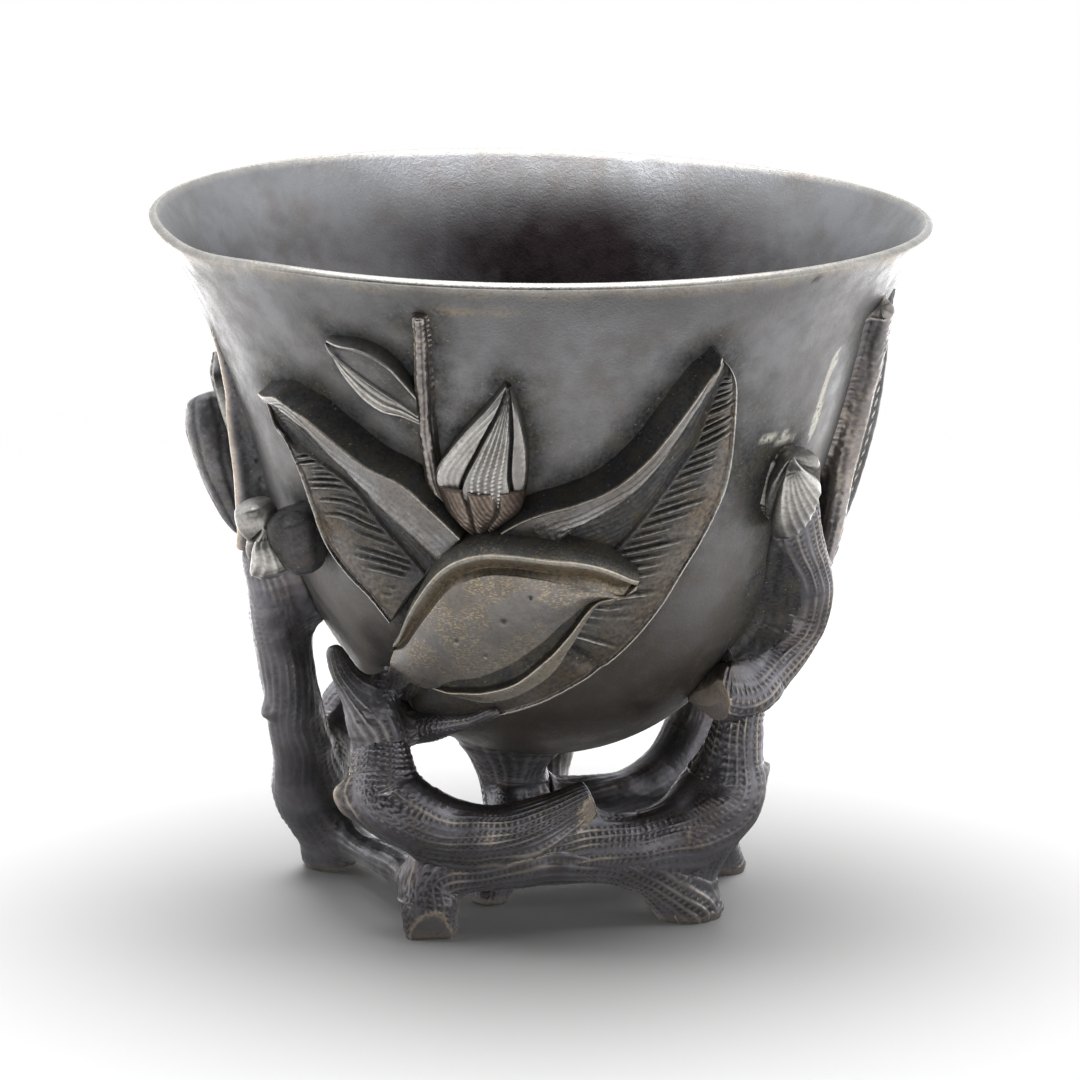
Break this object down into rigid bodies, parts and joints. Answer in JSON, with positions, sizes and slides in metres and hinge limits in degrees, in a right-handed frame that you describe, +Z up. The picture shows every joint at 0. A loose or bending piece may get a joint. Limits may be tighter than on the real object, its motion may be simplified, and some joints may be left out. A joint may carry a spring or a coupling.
{
  "type": "bronze cup",
  "caption": "Small bronze cup: a thin flared bowl held in a stand of gnarled branches, with leaves, flower buds and twigs soldered round its outside",
  "frame": {"origin": "middle of the overall box at the height of the soles, under the centre of the bowl", "axes": "+X to the right as seen from the front, +Y to the back, +Z up; the leaves and the folded leaf face -Y"},
  "size_m": [0.1, 0.095, 0.0917],
  "materials": {
    "bowl_bronze": "satin, dark patina",
    "branch_bronze": "chased bark, dark patina with rubbed ridges",
    "leaf_bronze": "rubbed satin, dark patina in the veins",
    "bud_bronze": "chased, dark patina with rubbed ridges"
  },
  "bodies": {
    "root": {"bowl": "bowl_bronze", "front_branch": "branch_bronze", "right_branch": "branch_bronze", "front_right_foot": "branch_bronze", "front_root": "branch_bronze", "left_branch": "branch_bronze", "left_root": "branch_bronze", "trunk": "branch_bronze", "back_right_branch": "branch_bronze", "right_root": "branch_bronze", "back_left_branch": "branch_bronze", "rear_root": "branch_bronze", "rear_branch": "branch_bronze", "front_left_leaf": "leaf_bronze", "front_right_leaf": "leaf_bronze", "front_folded_leaf": "leaf_bronze", "front_stub": "branch_bronze", "front_twig": "branch_bronze", "front_bud": "bud_bronze", "front_bud_calyx": "bud_bronze", "front_leaflet": "leaf_bronze", "left_twig": "branch_bronze", "left_bud": "bud_bronze", "left_bud_petals": "bud_bronze", "left_rear_bud": "bud_bronze", "left_rear_leaf": "leaf_bronze", "right_upper_branch": "branch_bronze", "right_bud": "bud_bronze", "right_twig": "branch_bronze", "right_rear_leaf": "leaf_bronze", "back_left_leaf": "leaf_bronze", "back_right_leaf": "leaf_bronze", "back_twig": "branch_bronze", "back_bud": "bud_bronze", "back_right_twig": "branch_bronze", "back_right_bud": "bud_bronze"}
  },
  "joints": []
}
